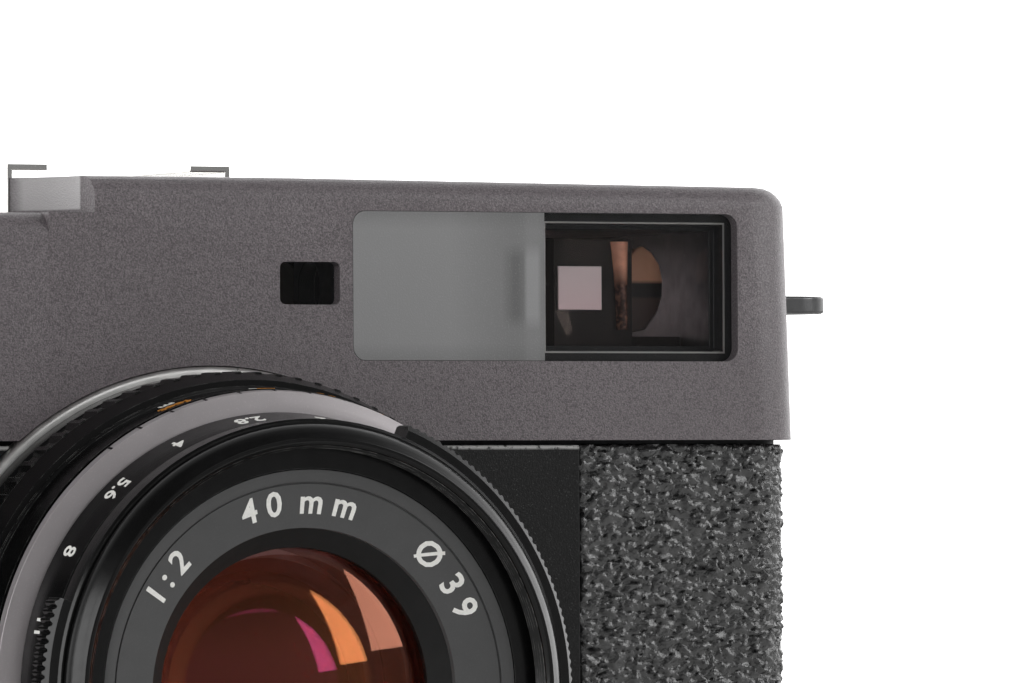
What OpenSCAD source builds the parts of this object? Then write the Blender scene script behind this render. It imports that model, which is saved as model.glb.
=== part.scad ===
/* [Body] */
// Width of the camera body over its rounded ends
body_w = 121; // [119:0.5:123]
// Depth of the body from the front face to the back
body_d = 32; // [31.5:0.5:33]
// Radius of the four upright corners of the body
end_r = 5; // [4.5:0.1:5.5]
// Height of the raised part of the top cover above the base
body_h = 74.8; // [74.6:0.1:75.4]
// Height where the body ends and the top cover begins
split_z = 53.5; // [53.4:0.1:53.8]
// Height of the lower deck that carries the advance lever
deck_z = 71.8; // [71.5:0.1:72]
// Radius along the top edges of the top cover
edge_r = 2.2; // [1.6:0.1:2.4]
// Wall of the top cover
cover_wall = 1.2; // [1:0.1:1.3]
// Thickness of the covering on the body
covering = 0.85; // [0.6:0.05:0.95]

/* [Lens] */
// Lens axis to the right of the middle of the body
lens_x = 6.5; // [6:0.1:7]
// Lens axis above the base
lens_z = 33.5; // [33.3:0.1:33.7]
// Mount flange in front of the middle of the body
flange = 16.5; // [16.4:0.05:16.6]
// Radius of the mount ring
mount_r = 25.98; // [25.5:0.02:26]
// Radius of the grip of the focusing ring
focus_r = 25.5; // [25:0.1:25.7]
// Radius of the filter thread
filter_r = 19.5; // [19.3:0.05:19.6]
// Number of iris blades
blades = 8; // [8:1:8]

/* [Windows] */
// Left edge of the illumination window
window_x0 = 18.95; // [18.9:0.05:19.4]
// Line between the illumination window and the finder window
window_x1 = 36.17; // [36:0.01:36.4]
// Right edge of the finder window
window_x2 = 53.73; // [53.5:0.01:53.8]
// Bottom edge of both windows
window_z0 = 59.97; // [59.9:0.01:60.2]
// Top edge of both windows
window_z1 = 72.15; // [71.9:0.01:72.2]
// Corner radius of the windows
window_r = 1.1; // [0.8:0.1:1.3]

/* [Controls] */
// Lever axis to the left of the middle of the body
lever_x = -37; // [-38:0.1:-36]
// Radius of the advance lever's hub
hub_r = 10.5; // [9.5:0.1:11]
// Radius of the shutter speed dial
dial_r = 11; // [10:0.1:11.2]
// Inner width of the accessory shoe
shoe_inner = 18.6; // [18.5:0.05:18.7]
// Radius of the tripod thread
tripod_r = 3.175; // [3.1:0.025:3.2]

/* [Hidden] */
$fn = 96;

half_w = body_w / 2;
half_d = body_d / 2;
eps = 0.01;

// covering and covers
skin_inset = 0.55;                       // covering behind the face of the top cover
frame_inset = skin_inset + covering + 0.05;
base_t = 2.2;                            // thickness of the base plate
frame_z0 = 2.6;                          // underside of the main frame
frame_top = 57.5;                        // top of the frame inside the top cover
back_y = 13.6;                           // inner face of the back
frame_back = 13.2;                       // rear face of the frame
film_y = 11.3;                           // film plane
joint_y = 11.4;                          // where the covering meets the back
plate_x0 = -46;                          // left edge of the smooth front plate
plate_x1 = 39.46;                        // right edge of the smooth front plate
plate_top = 53.1;                        // top edge of the smooth front plate

// film path
gate_w = 36;
gate_h = 24;
cassette = [44.5, 0.5];                  // axis of the cassette chamber
cassette_r = 13;
spool = [-44, 0.8];                      // axis of the take-up spool
spool_r = 9;
sprocket_at = [-24.5, 5.3];
sprocket_r = 6;

// base fittings
rewind_r = 8.6;
latch = [-46, 0];
latch_r = 8;
rewind_pin = [24, -7];
pin_r = 2.2;

// top fittings
collar_r = 5.1;
button_r = 4.4;
counter = [-21.5, 5];
counter_r = 6.8;
counter_view = [-17.4, 5];
shoe_x0 = -7.6;                          // left wall of the accessory shoe
shoe_wall = 0.5;
shoe_x1 = shoe_x0 + shoe_inner + 2 * shoe_wall;
shoe_y0 = -7;
shoe_y1 = 10;
shoe_top = 75.95;
shoe_lip = 3.05;
shoe_slot = 2.05;
shoe_floor = shoe_top - shoe_wall - shoe_slot;
scoop = [-16, -16];
scoop_r = 12.4;

// strap lugs
lug_eye = [half_w + 3, -4.6];
lug_z_high = 64.87;
lug_z_low = 14.2;

// finder
eye = [46, 66];                          // x and z of the eyepiece
rf_post = [15.2, -9.5];

// front controls
dial = [-34, 44];                        // x and z of the shutter speed dial
dial_y = -16.4;
speed_r = 6;
release_angle = 200;
release_at = 30.5;
release_r = 3.6;

// lens, along its axis from the flange
sleeve_r = 21.25;
barrel_r = 21.2;
front_r = 20.4;
lens_len = 21.34;
grip_start = 68;                         // where the first finger grip begins
grip_span = 88;
blade_pivot = 14;
blade_step = 0.18;
blade_t = 0.1;

fit = 0.05;                              // radial clearance of a turning or sliding fit

// ---------- shared shapes ----------

// Plan outline of the body, brought in by inset on every side
module plan(inset = 0) {
    r = end_r - inset;
    hull() for (x = [-1, 1], y = [-1, 1])
        translate([x * (half_w - end_r), y * (half_d - end_r)]) circle(r = r, $fn = 48);
}

// Outline with rounded corners in the plane of the front
module round_rect(w, h, r) {
    hull() for (x = [r, w - r], y = [r, h - r])
        translate([x, y]) circle(r = r, $fn = 32);
}

// Plate facing the front: x and z of its low corner, nearest y, and thickness
module front_slab(x, z, y, w, h, r, t) {
    translate([x, y + t, z]) rotate([90, 0, 0]) linear_extrude(t) round_rect(w, h, r);
}

// Cylinder along the front-to-back axis, from y0 to y1
module bar_y(x, z, r, y0, y1) {
    translate([x, y0, z]) rotate([-90, 0, 0]) cylinder(r = r, h = y1 - y0);
}

// Upright cylinder from z0 to z1
module bar_z(p, r, z0, z1) {
    translate([p[0], p[1], z0]) cylinder(r = r, h = z1 - z0);
}

// Box between two corners
module span(a, b) {
    translate(a) cube(b - a);
}

// Lens frame: the children's +Z points forward from the flange
module on_lens() {
    translate([lens_x, -flange, lens_z]) rotate([90, 0, 0]) children();
}

// Turned ring about the lens axis from a profile of [radius, distance from the flange]
module turned(profile) {
    rotate_extrude() polygon(profile);
}

// Ring of fine ribs between two radii
module ribbed(r_low, r_high, ribs, from, length, a0 = 0, sweep = 360) {
    steps = ribs * 4;
    outer = [for (i = [0:steps - (sweep == 360 ? 1 : 0)])
        let (a = a0 + i * sweep / steps, r = (i % 4 < 2) ? r_low : r_high) [r * cos(a), r * sin(a)]];
    inner = [for (i = [12:-1:0]) let (a = a0 + i * sweep / 12) (r_low - 1.6) * [cos(a), sin(a)]];
    translate([0, 0, from]) linear_extrude(length)
        polygon(sweep == 360 ? outer : concat(outer, inner));
}

// Closed block of the top cover between two ends, with a rounded top edge and drafted ends
module cover_block(x0, x1, top, inset, square_left = false, z0 = split_z) {
    draft = 0.03;
    crown = square_left ? 0.35 : 0;
    left = x0 + inset;
    right = x1 - inset;
    r = end_r - inset;
    round_r = edge_r - inset * 0.5;
    hull() {
        for (i = [0:6]) {
            a = i * 15;
            z = (i == 0) ? z0 : top - inset - round_r * (1 - sin(a));
            pull = (i == 0) ? 0 : round_r * (1 - cos(a));
            lean = draft * (z - split_z);
            for (y = [-1, 1]) {
                translate([right - r - lean, y * (half_d - inset - r), z - (i > 0 ? crown : 0)])
                    cylinder(r = r - pull, h = eps, $fn = 48);
                if (!square_left)
                    translate([left + r + lean, y * (half_d - inset - r), z])
                        cylinder(r = r - pull, h = eps, $fn = 48);
            }
            if (square_left)
                for (x = [left, left + 22])
                    translate([x, -(half_d - inset - pull), z])
                        cube([eps, 2 * (half_d - inset - pull), eps]);
        }
    }
}

// ---------- body ----------

module chassis() color("dimgray") {
    difference() {
        union() {
            // reaches into the top cover, so that their joint is closed
            translate([0, 0, frame_z0]) linear_extrude(53.58 - frame_z0) plan(frame_inset);
            span([-56, -11.5, 52], [56, 12.5, frame_top]);
            bar_y(lens_x, lens_z, mount_r - 0.1, -half_d + frame_inset, -11);
        }
        // rear face, and room at the ends for the back
        span([-half_w, frame_back, 0], [half_w, half_d, 53.2]);
        for (s = [-1, 1])
            translate([s * (half_w + 0.5), 14, 26]) cube([5, 2 * (14 - joint_y), 60], center = true);
        // throat for the lens and the light chamber
        bar_y(lens_x, lens_z, 24, -20, -12.5);
        bar_y(lens_x, lens_z, 21.9, -13, -7.9);
        span([lens_x - 21, -8, lens_z - 19], [lens_x + 21, 9.2, lens_z + 19]);
        // film gate and film channel
        span([lens_x - gate_w / 2, 9, lens_z - gate_h / 2], [lens_x + gate_w / 2, 14, lens_z + gate_h / 2]);
        span([-33, film_y, 16], [32, 14, 51]);
        // cassette chamber
        bar_z(cassette, cassette_r, 10.5, 56);
        span([cassette[0] - cassette_r, cassette[1], 10.5], [cassette[0] + cassette_r, 14, 53.2]);
        bar_z(cassette, 2.65, 2, 11);
        bar_z(cassette, rewind_r + 0.6, 2, 3.7);
        // take-up chamber
        bar_z(spool, 11.8, 13, 54);
        span([spool[0] - 11.8, spool[1], 13], [spool[0] + 11.8, 14, 53.2]);
        bar_z(spool, 2 + fit, 9, 14);
        // sprocket pocket
        bar_z(sprocket_at, 7.7, 14, 52);
        bar_z(sprocket_at, 1.5 + fit, 11, 15);
        // base fittings
        bar_z([0, 0], 6.3 + fit, 2, 7.5);
        bar_z(latch, 7, 2, 8);
        bar_z(rewind_pin, pin_r + fit, 2, 10);
        // front controls
        bar_y(dial[0], dial[1], 2.5 + fit, -20, -10);
        bar_y(lens_x + release_at * cos(release_angle), lens_z + release_at * sin(release_angle),
            release_r + fit, -20, -10);
        // slot for the rangefinder arm
        span([3.5, -12.4, 50], [10, -6, 60]);
    }
}

module front_plate() color([0.1, 0.1, 0.1]) {
    face = -half_d + 0.5;
    difference() {
        span([plate_x0, face, base_t + 0.3], [plate_x1, -half_d + frame_inset, plate_top]);
        bar_y(lens_x, lens_z, mount_r + 0.07, -20, -10);
        bar_y(dial[0], dial[1], 3, -20, -10);
        bar_y(lens_x + release_at * cos(release_angle), lens_z + release_at * sin(release_angle),
            release_r + 0.4, -20, -10);
    }
}

// Covering that wraps one end of the body, from x0 to x1
module covering_skin(x0, x1) {
    intersection() {
        translate([0, 0, base_t + 0.3]) linear_extrude(53.15 - base_t - 0.3)
            difference() {
                plan(skin_inset);
                plan(skin_inset + covering);
            }
        span([x0, -half_d, 0], [x1, joint_y - 0.2, 54]);
    }
}

module leather_left() color([0.13, 0.13, 0.14]) covering_skin(-half_w, plate_x0 - 0.15);

module leather_right() color([0.13, 0.13, 0.14])
    difference() {
        covering_skin(plate_x1 + 0.15, half_w);
        span([50, -8.7, 13.2], [half_w, -0.5, 15.2]);
    }

module top_cover() color([0.38, 0.36, 0.37]) {
    shell_x = shoe_x0;
    difference() {
        union() {
            cover_block(-half_w, half_w, deck_z, 0);
            cover_block(shell_x, half_w, body_h, 0, true);
        }
        // cavity, leaving a wall at the scoop and under the shoe
        difference() {
            union() {
                cover_block(-half_w, half_w, deck_z, cover_wall, false, split_z - 1);
                cover_block(shell_x, half_w, body_h, cover_wall, true, split_z - 1);
            }
            bar_z(scoop, scoop_r + cover_wall, deck_z - cover_wall, body_h);
            span([-12, shoe_y0 - cover_wall, 71.3], [shoe_x1 + cover_wall, half_d, body_h]);
        }
        // scoop in the front corner of the raised part
        bar_z(scoop, scoop_r, deck_z, body_h + 1);
        // seat of the shoe, open to the rear
        span([shoe_x0 - 1, shoe_y0 - 0.1, shoe_floor - 0.65], [shoe_x1 + 0.1, shoe_y1 + 0.1, 80]);
        span([shoe_x0 - 1, shoe_y0 - 0.1, deck_z], [shoe_x0 + shoe_wall + 0.1, shoe_y1 + 0.1, 80]);
        span([shoe_x0 - 1, shoe_y1, shoe_floor], [shoe_x1 - shoe_wall, half_d + 1, 80]);
        // windows
        front_slab(window_x0, window_z0, -half_d - 1, window_x2 - window_x0, window_z1 - window_z0, window_r, 4);
        front_slab(12.51, 64.5, -half_d - 1, 5.3, 3.46, 0.5, 4);
        // lens mount, eyepiece, lever, counter window, upper strap lug
        bar_y(lens_x, lens_z, mount_r + 0.07, -20, -10);
        bar_y(eye[0], eye[1], 6.2, 10, 20);
        bar_z([lever_x, 0], 7.3, 60, 80);
        bar_z(counter_view, 2.6, 60, 80);
        span([50, -8.7, 63.95], [half_w + 1, -0.5, 65.8]);
    }
}

module mount_ring() color("silver") on_lens() difference() {
    turned([[22, -flange + half_d - frame_inset], [mount_r, -flange + half_d - frame_inset],
        [mount_r, -0.6], [mount_r - 0.08, -0.3], [mount_r - 0.3, -0.08], [mount_r - 0.6, 0], [22, 0]]);
    for (a = [45:90:315]) rotate([0, 0, a]) translate([23.6, 0, -5]) cylinder(r = 0.9, h = 10);
}

module mount_screws() color("gainsboro") on_lens()
    for (a = [45:90:315]) rotate([0, 0, a]) translate([23.6, 0, 0])
        difference() {
            translate([0, 0, -1.9]) cylinder(r = 0.9, h = 1.85);
            translate([-1, -0.15, -0.5]) cube([2, 0.3, 1]);
        }

module frosted_window() color([0.55, 0.56, 0.56])
    intersection() {
        front_slab(window_x0 + 0.03, window_z0 + 0.03, -half_d + 0.05,
            window_x2 - window_x0, window_z1 - window_z0 - 0.06, window_r, 1.1);
        span([0, -20, 0], [window_x1 - 0.05, 0, 80]);
    }

module viewfinder_window() color([0.2, 0.2, 0.25, 0.5])
    intersection() {
        front_slab(window_x0, window_z0 + 0.03, -half_d + 0.1,
            window_x2 - window_x0 - 0.03, window_z1 - window_z0 - 0.06, window_r, 1);
        span([window_x1 + 0.05, -20, 0], [half_w, 0, 80]);
    }

module rangefinder_window() color([0.15, 0.15, 0.2, 0.5])
    front_slab(12.54, 64.53, -half_d + 0.1, 5.24, 3.4, 0.47, 1);

module finder_housing() color([0.06, 0.06, 0.06])
    difference() {
        span([18.1, -14.6, frame_top], [54.6, 12, 72.4]);
        // light box behind the frosted window
        span([window_x0 + 0.6, -15, window_z0 + 0.8], [window_x1 - 0.7, -6, window_z1 - 0.8]);
        // bevelled mouth and tunnel of the finder
        front_slab(window_x1 + 0.65, window_z0 + 0.85, -15, window_x2 - window_x1 - 1.4,
            window_z1 - window_z0 - 1.7, 0.4, 2);
        span([window_x1 + 1.1, -14, window_z0 + 1.3], [window_x2 - 1.2, 10, window_z1 - 1.3]);
        bar_y(eye[0], eye[1], 4.3, 9, 13);
        // side path of the rangefinder beam
        translate([17, -9, 66]) rotate([0, 90, 0]) cylinder(r = 2.2, h = 24);
    }

module finder_lens() color([0.5, 0.4, 0.35, 0.5])
    difference() {
        span([window_x1 + 1.2, -12.9, window_z0 + 1.4], [window_x2 - 1.3, -10.9, window_z1 - 1.4]);
        translate([45, -44, 66]) sphere(r = 31.9, $fn = 240);
    }

module beamsplitter() color([0.8, 0.7, 0.72])
    union() {
        span([39.8, -9.8, window_z0 + 1.3], [47, -4.6, 70.2]);
        span([47, -7.6, window_z0 + 1.3], [window_x2 - 1.2, -5.2, window_z0 + 2.2]);
    }

module rangefinder_arm() color("silver") {
    translate([rf_post[0], rf_post[1], 0]) {
        translate([0, 0, frame_top + 0.3]) cylinder(r = 1.3, h = 5.7);
        translate([-9.4, -1, frame_top + 0.4]) cube([9.4, 2, 1.4]);
        translate([-9.4, -1, 52.6]) cube([1.6, 2, 6.2]);
    }
    translate([rf_post[0] - 8.6, rf_post[1] - 1.6, 53.2]) rotate([-90, 0, 0]) cylinder(r = 0.8, h = 1.2);
}

module rangefinder_mirror() color("gold")
    translate([rf_post[0], rf_post[1], frame_top + 6]) rotate([0, 0, 45])
        translate([-2.4, -0.4, 0]) cube([4.8, 0.8, 5.2]);

module eyepiece() color([0.08, 0.08, 0.08])
    translate([eye[0], 12, eye[1]]) rotate([-90, 0, 0])
        turned([[4.3, 0], [6.1, 0], [6.1, 4.1], [6.9, 4.1], [6.9, 4.5], [6.5, 4.9], [5, 4.9], [4.3, 4.2]]);

module eyepiece_lens() color([0.4, 0.4, 0.5, 0.5])
    intersection() {
        bar_y(eye[0], eye[1], 4.28, 13, 15.8);
        translate([eye[0], -2.6, eye[1]]) sphere(r = 18);
    }

module accessory_shoe() color("gainsboro") {
    // floor, two walls and two lips of folded sheet
    span([shoe_x0, shoe_y0, shoe_floor - 0.6], [shoe_x1, shoe_y1, shoe_floor]);
    span([shoe_x0, shoe_y0, deck_z + 0.05], [shoe_x0 + shoe_wall, shoe_y1, shoe_floor - 0.6]);
    for (x = [shoe_x0, shoe_x1 - shoe_wall])
        span([x, shoe_y0, shoe_floor], [x + shoe_wall, shoe_y1, shoe_top]);
    span([shoe_x0 + shoe_wall, shoe_y0, shoe_top - shoe_wall],
        [shoe_x0 + shoe_wall + shoe_lip, shoe_y1, shoe_top]);
    span([shoe_x1 - shoe_wall - shoe_lip, shoe_y0, shoe_top - shoe_wall],
        [shoe_x1 - shoe_wall, shoe_y1, shoe_top]);
}

// Strap lug at height z: a flat eye on a tail that reaches in to root_x
module strap_lug(z, root_x) {
    thick = 1.45;
    eye_r = 3.5;
    difference() {
        union() {
            translate([lug_eye[0], lug_eye[1], z - thick / 2]) cylinder(r = eye_r, h = thick);
            span([root_x, lug_eye[1] - eye_r, z - thick / 2], [lug_eye[0], lug_eye[1] + eye_r, z + thick / 2]);
        }
        translate([lug_eye[0], lug_eye[1], z - 2]) cylinder(r = 1.9, h = 4);
    }
}

module strap_lugs() color("gray") {
    strap_lug(lug_z_high, 57.1);
    // foot of the upper lug, fixed to the end of the frame
    span([56.05, lug_eye[1] - 3.5, 53.6], [57.1, lug_eye[1] + 3.5, lug_z_high + 0.725]);
    strap_lug(lug_z_low, 59.07);
}

module shutter_curtain() color([0.12, 0.12, 0.12])
    span([lens_x - 20.9, 7.9, lens_z - 18.9], [lens_x + 20.9, 8.3, lens_z + 18.9]);

module meter_arm() color("dimgray") {
    pivot = [-11, 19];
    cell = [lens_x, lens_z];
    long = norm(cell - pivot);
    tilt = atan2(cell[1] - pivot[1], cell[0] - pivot[0]);
    translate([pivot[0], 3, pivot[1]]) rotate([0, -tilt, 0]) {
        translate([0, -0.6, -1]) cube([long, 1.2, 2]);
        translate([long, -1, 0]) rotate([-90, 0, 0]) cylinder(r = 3, h = 2);
        translate([0, -1, 0]) rotate([-90, 0, 0]) cylinder(r = 1.8, h = 2);
    }
}

module tripod_socket() color("silver")
    difference() {
        bar_z([0, 0], 6.3, 0, 7.5);
        bar_z([0, 0], tripod_r, -1, 6);
    }

// ---------- film transport ----------

module takeup_spool() color([0.1, 0.1, 0.1])
    difference() {
        union() {
            bar_z(spool, spool_r, 14.4, 52.6);
            bar_z(spool, 2, 10, 14.4);
        }
        for (a = [0:60:300]) translate([spool[0], spool[1], 0]) rotate([0, 0, a])
            translate([spool_r - 2.2, -1, 17]) cube([4, 2, 33]);
    }

module sprocket() color("silver") {
    bar_z(sprocket_at, 4.6, 14.4, 51.6);
    bar_z(sprocket_at, 1.5, 11.4, 14.4);
    for (z = [lens_z - 15.6, lens_z + 12.9])
        translate([sprocket_at[0], sprocket_at[1], z])
            difference() {
                union() {
                    cylinder(r = sprocket_r, h = 2.7);
                    for (a = [22.5:45:340]) rotate([0, 0, a])
                        translate([sprocket_r - 0.5, -0.75, 0.35]) cube([1.5, 1.5, 2]);
                }
                translate([0, 0, -1]) cylinder(r = 4.6, h = 5);
            }
}

module pressure_plate() color([0.15, 0.15, 0.15])
    difference() {
        span([lens_x - 22, film_y + 0.35, 17.2], [lens_x + 22, film_y + 1.05, 50]);
        for (x = [-14, 14]) bar_y(lens_x + x, lens_z, 1.5, 10, 14);
    }

// ---------- back and base ----------

module back_cover() color([0.1, 0.1, 0.1])
    difference() {
        union() {
            intersection() {
                linear_extrude(53) difference() {
                    plan(0.3);
                    translate([0, -12]) square([2 * half_w - 3.4, 2 * (back_y + 12)], center = true);
                }
                span([-half_w, joint_y, 0], [half_w, half_d, 54]);
            }
            linear_extrude(base_t) plan(0.3);
        }
        bar_z([0, 0], 6.7, -1, 4);
        bar_z(latch, latch_r + 0.35, -1, 4);
        bar_z(cassette, rewind_r + 0.4, -1, 4);
        bar_z(rewind_pin, pin_r + 0.4, -1, 4);
        // shallow panel for the covering
        span([-55.5, half_d - 1.1, 3], [55.5, half_d + 1, 51.6]);
    }

module back_leather() color([0.13, 0.13, 0.14])
    span([-55.4, half_d - 1.1, 3.1], [55.4, half_d - 0.2, 51.5]);

module latch_key() color("silver")
    translate([latch[0], latch[1], 0]) difference() {
        union() {
            translate([0, 0, 0.25]) cylinder(r = latch_r, h = 1.95);
            cylinder(r = 3, h = 6);
            translate([0, -1.5, 4.6]) cube([6.1, 3, 1.2]);
        }
        intersection() {
            translate([0, 0, -1]) cylinder(r = 7, h = 2.75);
            translate([-10, -10, -1]) cube([20, 11, 5]);
        }
    }

module latch_wing() color("gainsboro")
    translate([latch[0], latch[1], 0.35]) difference() {
        intersection() {
            cylinder(r = 6.5, h = 1);
            translate([-10, -10, -1]) cube([20, 10.5, 5]);
        }
        translate([0, -3.6, -1]) cylinder(r = 1.6, h = 4);
    }

module rewind_shaft() color("silver")
    translate([cassette[0], cassette[1], 0]) difference() {
        union() {
            translate([0, 0, 0.25]) cylinder(r = rewind_r, h = 3.05);
            translate([0, 0, 3]) cylinder(r = 2.6, h = 10);
            translate([-2.2, -0.6, 12.9]) cube([4.4, 1.2, 4]);
        }
        translate([-8, -3, 0]) cube([20, 6, 1.8]);
        translate([-7.7, -3, 0]) cube([3.4, 6, 2.5]);
    }

module rewind_crank() color("gainsboro")
    translate([cassette[0], cassette[1], 0.45]) difference() {
        linear_extrude(1.05) hull() {
            translate([-6, 0]) circle(r = 0.9, $fn = 32);
            translate([-5.2, 0]) square([0.1, 4.6], center = true);
            translate([4.9, 0]) circle(r = 2.7, $fn = 48);
        }
        translate([4.9, 0, -1]) cylinder(r = 1.9 + fit, h = 4);
    }

module rewind_knob() color([0.1, 0.1, 0.1])
    bar_z([cassette[0] + 4.9, cassette[1]], 1.9, 0.3, 1.5);

module rewind_button() color("silver") bar_z(rewind_pin, pin_r, 0.3, 8);

// ---------- top controls ----------

module release_collar() color("silver")
    translate([lever_x, 0, 0])
        turned([[button_r + fit, frame_top], [collar_r, frame_top], [collar_r, 75.4],
            [collar_r - 0.2, 75.6], [button_r + fit, 75.6]]);

module release_button() color("gainsboro")
    translate([lever_x, 0, 0]) difference() {
        turned([[0, 68], [button_r, 68], [button_r, 76.1], [button_r - 0.5, 76.5], [0, 76.5]]);
        translate([0, 0, 72]) cylinder(r = 1.6, h = 6);
    }

module counter_disc() color([0.08, 0.08, 0.08]) {
    bar_z(counter, counter_r, 69, 69.6);
    bar_z(counter, 1, frame_top + 0.3, 69);
}

module counter_window() color([0.7, 0.7, 0.75, 0.6]) bar_z(counter_view, 2.55, 70.7, 71.6);

// Outline of the lever's arm about the lever axis
module arm_outline(grow = 0) {
    hull() {
        circle(r = 8 + grow, $fn = 64);
        translate([-13, 6.5]) circle(r = 4 + grow, $fn = 48);
    }
    hull() {
        translate([-13, 6.5]) circle(r = 4 + grow, $fn = 48);
        translate([-18.6, 10.6]) circle(r = 3 + grow, $fn = 48);
    }
}

module advance_lever() color("gainsboro")
    translate([lever_x, 0, 0]) difference() {
        union() {
            turned([[0, 72.2], [hub_r, 72.2], [hub_r, 74.7], [hub_r - 0.6, 75.3], [0, 75.3]]);
            translate([0, 0, 72.6]) linear_extrude(1.7) arm_outline();
            translate([0, 0, frame_top + 0.3]) cylinder(r = 6.8, h = 15);
        }
        translate([0, 0, 50]) cylinder(r = collar_r + fit, h = 30);
    }

module lever_tip() color([0.08, 0.08, 0.08])
    translate([lever_x, 0, 0]) difference() {
        translate([0, 0, 72.3]) linear_extrude(2.9) intersection() {
            arm_outline(0.6);
            translate([-30, 0]) square([15.2, 30]);
        }
        translate([0, 0, 72.6]) linear_extrude(1.7) arm_outline();
    }

// ---------- front controls ----------

module shutter_dial() color([0.12, 0.12, 0.12])
    translate([dial[0], dial_y, dial[1]]) rotate([90, 0, 0]) difference() {
        union() {
            ribbed(dial_r - 0.35, dial_r, 36, 0, 3.4);
            turned([[0, 3.3], [dial_r - 0.4, 3.3], [dial_r - 0.5, 4], [dial_r - 2.2, 5.6], [0, 5.6]]);
            translate([0, 0, -4.4]) cylinder(r = 2.5, h = 5);
        }
        translate([0, 0, 3.7]) cylinder(r = speed_r + 0.35, h = 3);
        translate([0, 0, -1]) cylinder(r = 1.2 + fit, h = 8);
    }

module film_speed_dial() color("silver")
    translate([dial[0], dial_y, dial[1]]) rotate([90, 0, 0]) {
        turned([[0, 4], [speed_r, 4], [speed_r, 5.9], [speed_r - 0.4, 6.2], [0, 6.2]]);
        translate([0, 0, -0.6]) cylinder(r = 1.2, h = 4.7);
    }

module lens_release() color("gainsboro")
    translate([lens_x + release_at * cos(release_angle), -12, lens_z + release_at * sin(release_angle)])
        rotate([90, 0, 0]) turned([[0, 0], [release_r, 0], [release_r, 6.2], [release_r - 0.4, 6.6], [0, 6.6]]);

// ---------- lens ----------

module lens_base() color([0.07, 0.07, 0.07]) on_lens() {
    turned([[sleeve_r, -3.5], [21.85, -3.5], [21.85, 0], [25.3, 0], [25.3, 2.1], [25.1, 2.3],
        [22, 2.3], [22, 10.5], [sleeve_r, 10.5]]);
    // bayonet lugs behind the mount ring
    for (a = [20:120:260]) rotate([0, 0, a]) rotate_extrude(angle = 50)
        polygon([[21.5, -3.4], [23.5, -3.4], [23.5, -2.25], [21.5, -2.25]]);
}

module focus_ring() color([0.09, 0.09, 0.09]) on_lens()
    difference() {
        union() {
            ribbed(focus_r - 0.35, focus_r, 90, 2.65, 2.7);
            turned([[20, 5.3], [focus_r - 0.1, 5.3], [24.81, 7.3], [24.3, 7.35], [24.3, 7.6],
                [24.08, 7.7], [24.05, 11.3], [20, 11.3]]);
            turned([[20, 2.6], [focus_r - 0.4, 2.6], [focus_r - 0.4, 5.4], [20, 5.4]]);
        }
        translate([0, 0, -1]) cylinder(r = 22 + fit, h = 20);
    }

module focus_tab() color([0.07, 0.07, 0.07]) on_lens()
    rotate([0, 0, 235]) difference() {
        intersection() {
            translate([24, -7, 2.8]) cube([9, 14, 4.2]);
            cylinder(r = 31.5, h = 20);
        }
        translate([0, 0, -1]) cylinder(r = focus_r, h = 20);
        for (s = [-1, 1]) translate([31, s * 10.5, -1]) cylinder(r = 6.2, h = 20);
    }

module lens_barrel() color([0.06, 0.06, 0.06]) on_lens()
    turned([[10.05, -3.5], [barrel_r, -3.5], [barrel_r, 12.8], [front_r, 12.8], [front_r, 19.65],
        [21.2, 19.65], [21.2, 19.9], [21.08, 20.25], [20.82, 20.6], [20.45, 20.95],
        [20.05, lens_len], [19.75, lens_len], [filter_r, 21.1], [filter_r, 19.25], [17.65, 19.25],
        [17.65, 16.6], [13.35, 16.6], [13.35, 15.2], [11.5, 15.2], [11.5, 7.4], [17.6, 7.4],
        [17.6, 5.2], [9.3, 5.2], [9.3, 4.6], [10.05, 4.6]]);

module depth_ring() color([0.5, 0.49, 0.49]) on_lens()
    turned([[barrel_r, 11.65], [23.95, 11.65], [23.84, 12.4], [22.2, 12.8], [barrel_r, 12.8]]);

module aperture_ring() color([0.08, 0.08, 0.08]) on_lens()
    difference() {
        union() {
            turned([[20, 13.1], [22.15, 13.1], [21.4, 16.5], [21.1, 16.6], [21.1, 17.2],
                [21.6, 17.4], [21.6, 19.4], [21.4, 19.6], [20, 19.6]]);
            // grips with a chamfer round their front
            intersection() {
                for (a = [grip_start - grip_span, grip_start - grip_span + 180])
                    ribbed(22.58, 22.78, 50, 16.9, 2.5, a, grip_span);
                turned([[20, 16.8], [23, 16.8], [23, 18.7], [22.3, 19.4], [20, 19.4]]);
            }
        }
        translate([0, 0, -1]) cylinder(r = front_r + fit, h = 30);
    }

module name_ring() color([0.05, 0.05, 0.05]) on_lens()
    turned([[13.4, 16.65], [17.6, 16.65], [17.6, 19.2], [17.2, 19.2], [16.62, 18.95], [16.62, 18.75],
        [16.48, 18.75], [16.48, 18.88], [13, 18], [13, 17.4], [13.4, 17.4]]);

module retaining_ring() color([0.05, 0.05, 0.05]) on_lens()
    turned([[11.45, 15.25], [13.3, 15.25], [13.3, 17.3], [11.45, 16]]);

module front_glass() color([0.5, 0.25, 0.3, 0.6]) on_lens()
    intersection() {
        translate([0, 0, 9]) cylinder(r = 11.4, h = 10);
        translate([0, 0, -14.3]) sphere(r = 32);
        translate([0, 0, 42]) sphere(r = 31);
    }

module rear_glass() color([0.3, 0.3, 0.5, 0.6]) on_lens()
    intersection() {
        translate([0, 0, -3.2]) cylinder(r = 10, h = 7.6);
        translate([0, 0, 21]) sphere(r = 24.2);
    }

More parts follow.
